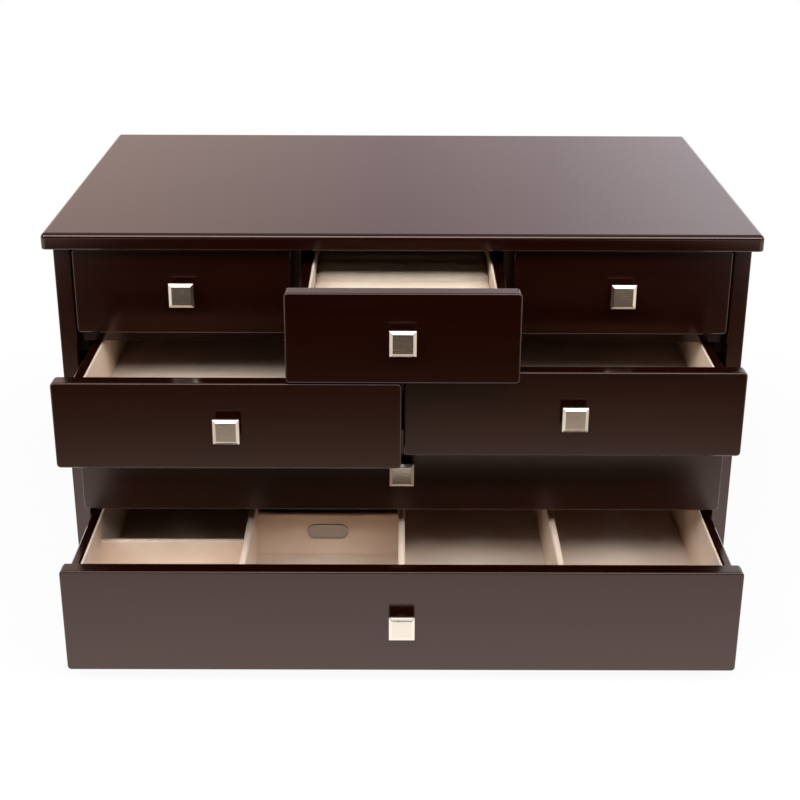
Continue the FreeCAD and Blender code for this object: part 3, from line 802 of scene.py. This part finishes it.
@dataclass
class Drawer:
    """One drawer: front, box, floor, lining, knob and screw."""

    name: str
    finishes: Finishes
    corner: Rounding = Rounding(2.2 * MM, 5)
    face_edge: Rounding = Rounding(1.0 * MM, 5)
    rear_end: Rounding = Rounding(4.0 * MM, 5)
    rear_edge: Rounding = Rounding(0.8 * MM, 2)

    @property
    def body(self) -> str:
        """The body that the drawer's pieces ride on."""
        return f"{self.name}_drawer"

    @property
    def front_finish(self) -> bpy.types.Material:
        """The front's lacquer, a little duller on the third drawer."""
        return self.finishes.duller if self.name == "third" else self.finishes.lengthwise

    def build(self) -> None:
        """Builds and dresses the drawer."""
        self.build_front()
        paint(f"{self.name}_box", self.finishes.deep)
        paint(f"{self.name}_floor", self.finishes.inside)
        Lining(self.name, self.finishes).build()
        Knob(self.name, self.finishes).build()

    def build_front(self) -> None:
        """Front board with soft corners, a tight rounding around its face and well rounded ends behind."""
        low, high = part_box(f"{self.name}_front")
        shape = box_mesh(low, high)
        round_edges(shape, along(shape, Axis.Y), self.corner)
        for end, outward in ((low, -RIGHT), (high, RIGHT)):
            shave_edge(shape, Vector((end.x, high.y, 0)), REAR, outward, self.rear_end)
        for end, outward in ((low, -UP), (high, UP)):
            shave_edge(shape, Vector((0, high.y, end.z)), REAR, outward, self.rear_edge)
        round_edges(shape, at_level(shape, Axis.Y, low.y), self.face_edge)
        finish_piece(shape, f"{self.name}_drawer_front", self.front_finish, self.body,
                     (f"{self.name}_front",))


@dataclass
class RingRolls:
    """Suede rolls over foam that hold rings between them."""

    finishes: Finishes
    count: int = 12
    gap: float = 0.8 * MM
    backing: float = 3.0 * MM
    rows: int = 18
    columns: int = 34
    fullness: float = 2.5
    end_draw: float = 1.6 * MM
    end_reach: float = 3.2 * MM
    side_clearance: float = 0.12 * MM
    foot: float = 0.4 * MM
    wave: float = 0.18 * MM
    waves_along: float = 6.0
    wave_shift: float = 3.7

    def build(self) -> None:
        """Builds the backing and its rolls inside the CAD node's box."""
        low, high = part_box("ring_rolls")
        pitch = (high.y - low.y) / self.count
        shape = box_mesh(low, Vector((high.x, high.y, low.z + self.backing)))
        for index in range(self.count):
            self.add_roll(shape, low, high, low.y + pitch * (index + 0.5), pitch - self.gap, index)
        piece = finish_piece(shape, "ring_roll_pad", self.finishes.roll, "top_centre_drawer",
                             ("ring_rolls",), even=False)

    def add_roll(self, shape: bmesh.types.BMesh, low: Vector, high: Vector, middle: float, width: float,
                 index: int) -> None:
        """Adds one roll as a grid wrapped over its section.

        Args:
            shape: The bmesh that takes it.
            low: Lowest corner of the node.
            high: Its highest corner.
            middle: The roll's middle along Y.
            width: The roll's width.
            index: The roll's number, which varies its small waves.
        """
        made = bmesh.ops.create_grid(shape, x_segments=self.columns, y_segments=self.rows, size=0.5)
        length = high.x - low.x
        power = 2.0 / self.fullness
        for vert in made["verts"]:
            share = vert.co.x + 0.5
            angle = math.pi * (vert.co.y + 0.5)
            to_end = min(1.0, min(share, 1.0 - share) * length / self.end_reach)
            draw = self.end_draw * (1.0 - math.sqrt(max(0.0, 1.0 - (1.0 - to_end) ** 2)))
            side = -math.copysign(abs(math.cos(angle)) ** power, math.cos(angle))
            rise = abs(math.sin(angle)) ** power
            spot = Vector((share * self.waves_along, angle, index * self.wave_shift))
            wave = self.wave * noise.noise(spot)
            half_width = width / 2 - draw - self.side_clearance
            crest = high.z - low.z - self.foot - draw
            vert.co = Vector((low.x + length * share, middle + side * half_width,
                              low.z + self.foot + crest * rise - abs(wave)))


@dataclass
class Dividers:
    """Suede-covered dividers of the bottom drawer and the blank plate on one of them."""

    finishes: Finishes
    thickness: float = 4.0 * MM
    top: Rounding = Rounding(1.3 * MM, 5)
    centre_lift: float = 1.0 * MM
    plate_end_flats: int = 12
    plate_end_flat: float = 0.05 * MM
    plate_rim: float = 0.6 * MM
    plate_step: float = 0.1 * MM
    plate_sunk: float = 0.22 * MM
    body: str = "bottom_drawer"

    def build(self) -> None:
        """Builds the long and the cross dividers and the plate."""
        self.build_long()
        self.build_cross("left_cross_divider", "left_column_divider", 0.0)
        self.build_cross("centre_cross_divider", "centre_column_divider", self.centre_lift)
        self.build_plate()

    def build_long(self) -> None:
        """Three dividers from front to rear, in one piece."""
        low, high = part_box("long_dividers")
        shape = bmesh.new()
        right = high.x - self.thickness
        for left in (low.x, (low.x + right) / 2, right):
            take_in(shape, covered_board(Vector((left, low.y, low.z)),
                                         Vector((left + self.thickness, high.y, high.z)), self.top))
        finish_piece(shape, "column_dividers", self.finishes.lining, self.body,
                     ("long_dividers",))

    def build_cross(self, node: str, name: str, lift: float) -> None:
        """One lower divider across a column.

        Args:
            node: The CAD node that it stands for.
            name: The piece's name.
            lift: How much higher than the node it is.
        """
        low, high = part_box(node)
        finish_piece(covered_board(low, high + UP * lift, self.top), name, self.finishes.lining, self.body,
                     (node,))

    def build_plate(self) -> None:
        """Blank plate with round ends and a raised plain rim."""
        low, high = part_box("blank_plate")
        shape = box_mesh(low, high)
        end = Rounding((high.z - low.z) / 2 - self.plate_end_flat, self.plate_end_flats)
        round_edges(shape, along(shape, Axis.Y), end)
        face = [made for made in shape.faces if abs(made.calc_center_median().y - low.y) < SAME_LEVEL]
        bmesh.ops.inset_region(shape, faces=face, thickness=self.plate_rim, depth=0.0)
        bmesh.ops.inset_region(shape, faces=face, thickness=self.plate_step, depth=-self.plate_sunk)
        finish_piece(shape, "oval_plate", self.finishes.plate, self.body, ("blank_plate",))


@dataclass
class Camera:
    """Camera at the photograph's place, with its turns in radians."""

    place: Place = (-0.0040, -0.93991, 0.46908)
    yaw: float = 0.003518
    pitch: float = 0.390162
    roll: float = 0.004313
    lens: float = 67.353
    sensor_width: float = 36.0
    farthest: float = 50.0

    def build(self) -> None:
        """Places the camera and makes it the scene's."""
        forward = Vector((math.sin(self.yaw) * math.cos(self.pitch),
                          math.cos(self.yaw) * math.cos(self.pitch), -math.sin(self.pitch)))
        side = Vector((math.cos(self.yaw), -math.sin(self.yaw), 0.0))
        above = side.cross(forward)
        right = math.cos(self.roll) * side + math.sin(self.roll) * above
        up = -math.sin(self.roll) * side + math.cos(self.roll) * above
        data = bpy.data.cameras.new("camera")
        data.sensor_width = self.sensor_width
        data.lens = self.lens
        data.clip_end = self.farthest
        camera = bpy.data.objects.new("camera", data)
        turn = Matrix((right, up, -forward)).transposed().to_4x4()
        camera.matrix_world = Matrix.Translation(self.place) @ turn
        bpy.context.scene.collection.objects.link(camera)
        bpy.context.scene.camera = camera


@dataclass(frozen=True)
class Lamp:
    """Rectangular area lamp: its place, the point that it faces, its width and height, and its watts."""

    name: str
    place: Place
    aim: Place
    size: tuple[float, float]
    power: float

    def build(self) -> None:
        """Hangs the lamp."""
        data = bpy.data.lights.new(self.name, "AREA")
        data.shape = "RECTANGLE"
        data.size, data.size_y = self.size
        data.energy = self.power
        lamp = bpy.data.objects.new(self.name, data)
        lamp.location = self.place
        lamp.rotation_euler = (Vector(self.aim) - Vector(self.place)).to_track_quat("-Z", "Y").to_euler()
        bpy.context.scene.collection.objects.link(lamp)


@dataclass
class Surroundings:
    """World: white to look at, a softly uneven backdrop in reflections and weak light elsewhere.

    The ranges are parts of a direction: across from left to right, up to where the ceiling starts, and
    from the front, which is dim, to the rear.
    """

    backdrop: Stops = (
        (0.0, 0.96, 0.77, 0.70), (0.30, 0.88, 0.68, 0.62), (0.5, 0.69, 0.545, 0.55),
        (0.6, 0.80, 0.67, 0.70), (0.69, 1.07, 0.95, 1.01), (0.76, 1.23, 1.14, 1.18),
        (1.0, 1.15, 1.18, 1.19))
    ceiling: Colour = (0.45, 0.42, 0.41)
    dim_front: Colour = (0.06, 0.035, 0.03)
    weak: Colour = (0.05, 0.03, 0.018)
    across: Range = (-0.5, 0.5)
    to_ceiling: Range = (0.42, 0.66)
    to_rear: Range = (-0.25, 0.15)

    def build(self) -> None:
        """Makes the world."""
        world = bpy.data.worlds.new("surroundings")
        world.use_nodes = True
        bpy.context.scene.world = world
        graph = Graph(world.node_tree)
        path = graph.node("ShaderNodeLightPath").outputs
        direction = graph.node("ShaderNodeTexCoord").outputs["Generated"]
        parts = graph.node("ShaderNodeSeparateXYZ", Vector=direction).outputs
        walls = graph.ramp(graph.remap(parts["X"], self.across), self.backdrop)
        height = graph.remap(parts["Z"], self.to_ceiling, curve="SMOOTHSTEP")
        depth = graph.remap(parts["Y"], self.to_rear, curve="SMOOTHSTEP")
        reflected = graph.mix(depth, self.dim_front, graph.mix(height, walls, self.ceiling))
        looked_at = graph.calculate("MAXIMUM", path["Is Camera Ray"], path["Is Transmission Ray"])
        plain = graph.mix(looked_at, self.weak, WHITE)
        whole = graph.mix(path["Is Glossy Ray"], plain, reflected)
        graph.adjust(graph.tree.nodes["Background"], Color=whole, Strength=1.0)


@dataclass
class PaleFloor:
    """Floor: white to the camera with a faint shadow, a pool of light around the box to all else.

    The pool's stops are metres from the box. The stops of the glow to the sides are metres to either side
    of its middle: far left and right the floor glows brighter, as light that falls on the box and shows in
    its reflections.
    """

    half_size: float = 14.0
    below: float = 0.3 * MM
    pool: Stops = (
        (0.0, 1.64, 1.58, 1.54), (0.07, 1.39, 1.36, 1.34), (0.10, 1.33, 1.29, 1.26),
        (0.26, 0.48, 0.40, 0.33), (0.315, 0.33, 0.25, 0.175), (0.35, 0.20, 0.14, 0.095),
        (0.44, 0.08, 0.045, 0.025), (0.61, 0.02, 0.008, 0.004), (1.0, 0.02, 0.008, 0.004))
    # Glow of the floor far to either side, a light seen in reflections.
    side_glow: Stops = (
        (0.0, 0.0, 0.0, 0.0), (0.305, 0.0, 0.0, 0.0), (0.365, 0.17, 0.14, 0.125),
        (0.435, 0.64, 0.585, 0.545), (0.56, 1.20, 1.12, 1.05), (1.0, 1.15, 1.10, 1.05))
    cast: float = 0.3
    shade: Colour = (0.95, 0.95, 0.95)
    shade_share: float = 0.06
    shade_reach: Range = (0.02, 0.30)

    def build(self) -> None:
        """Lays the floor just under the box."""
        shape = bmesh.new()
        bmesh.ops.create_grid(shape, x_segments=1, y_segments=1, size=self.half_size)
        bmesh.ops.translate(shape, verts=shape.verts, vec=UP * -self.below)
        mesh = bpy.data.meshes.new("floor")
        shape.to_mesh(mesh)
        shape.free()
        floor = bpy.data.objects.new("floor", mesh)
        bpy.context.scene.collection.objects.link(floor)
        mesh.materials.append(self.build_material())

    def build_material(self) -> bpy.types.Material:
        """Makes the floor's material.

        Returns:
            The material.
        """
        material, graph, shader, place = start_material("pale_floor")
        graph.tree.nodes.remove(shader)
        parts = graph.node("ShaderNodeSeparateXYZ", Vector=place).outputs
        away = self.distance_from_box(graph, place)
        path = graph.node("ShaderNodeLightPath").outputs
        pool = graph.ramp(away, self.pool)
        side_glow = graph.ramp(graph.calculate("ABSOLUTE", parts["X"]), self.side_glow)
        glow = graph.node("ShaderNodeEmission", Color=graph.mix(1.0, pool, side_glow, "LIGHTEN"),
                          Strength=graph.remap(path["Is Glossy Ray"], WHOLE, (self.cast, 1.0)))
        white = graph.node("ShaderNodeEmission", Color=WHITE, Strength=1.0)
        shaded = graph.node("ShaderNodeBsdfDiffuse", Color=self.shade)
        near = graph.remap(away, self.shade_reach, (self.shade_share, 0.0), "SMOOTHSTEP")
        shown = graph.mix_shaders(near, white, shaded)
        whole = graph.mix_shaders(path["Is Camera Ray"], glow, shown)
        graph.adjust(graph.tree.nodes["Material Output"], Surface=whole.outputs[0])
        return material

    @staticmethod
    def distance_from_box(graph: Graph, place: Socket) -> Socket:
        """Distance on the floor from the box's footprint.

        Args:
            graph: The floor material's graph.
            place: The Object coordinates.

        Returns:
            The distance in metres.
        """
        parts = graph.node("ShaderNodeSeparateXYZ", Vector=place).outputs
        low, high = CAD_BOX
        squares = []
        for axis in (Axis.X, Axis.Y):
            middle = (low[axis] + high[axis]) / 2
            half = (high[axis] - low[axis]) / 2
            offset = graph.calculate("ABSOLUTE", graph.calculate("SUBTRACT", parts[axis.name], middle))
            beyond = graph.calculate("MAXIMUM", graph.calculate("SUBTRACT", offset, half), 0.0)
            squares.append(graph.calculate("MULTIPLY", beyond, beyond))
        return graph.calculate("SQRT", graph.calculate("ADD", *squares))


@dataclass
class Studio:
    """Surroundings, floor, camera and lamps: overhead, high in front, and on each side in front."""

    aim: Place = (0.0, -0.15, 0.1)
    lamps: tuple[Lamp, ...] = (
        Lamp("overhead", (0.0, -0.15, 1.45), (0.0, -0.15, 0.0), (1.5, 1.2), 1.0),
        Lamp("high_front", (0.0, -1.38, 1.676), aim, (1.8, 0.85), 26.0),
        Lamp("left_front", (-1.286, -1.05, 1.34), aim, (1.1, 0.7), 18.0),
        Lamp("right_front", (1.286, -1.05, 1.34), aim, (1.1, 0.7), 18.0))

    def build(self) -> None:
        """Sets the whole studio."""
        Surroundings().build()
        PaleFloor().build()
        for lamp in self.lamps:
            lamp.build()
        Camera().build()
        bpy.context.scene.view_settings.view_transform = "Standard"


def main() -> None:
    logging.basicConfig(level=logging.INFO, format="%(name)s %(message)s")
    Studio().build()
    finishes = Finishes(Effects())
    Case(finishes).build()
    for name in DRAWERS:
        Drawer(name, finishes).build()
    RingRolls(finishes).build()
    Dividers(finishes).build()


if __name__ == "__main__":
    main()
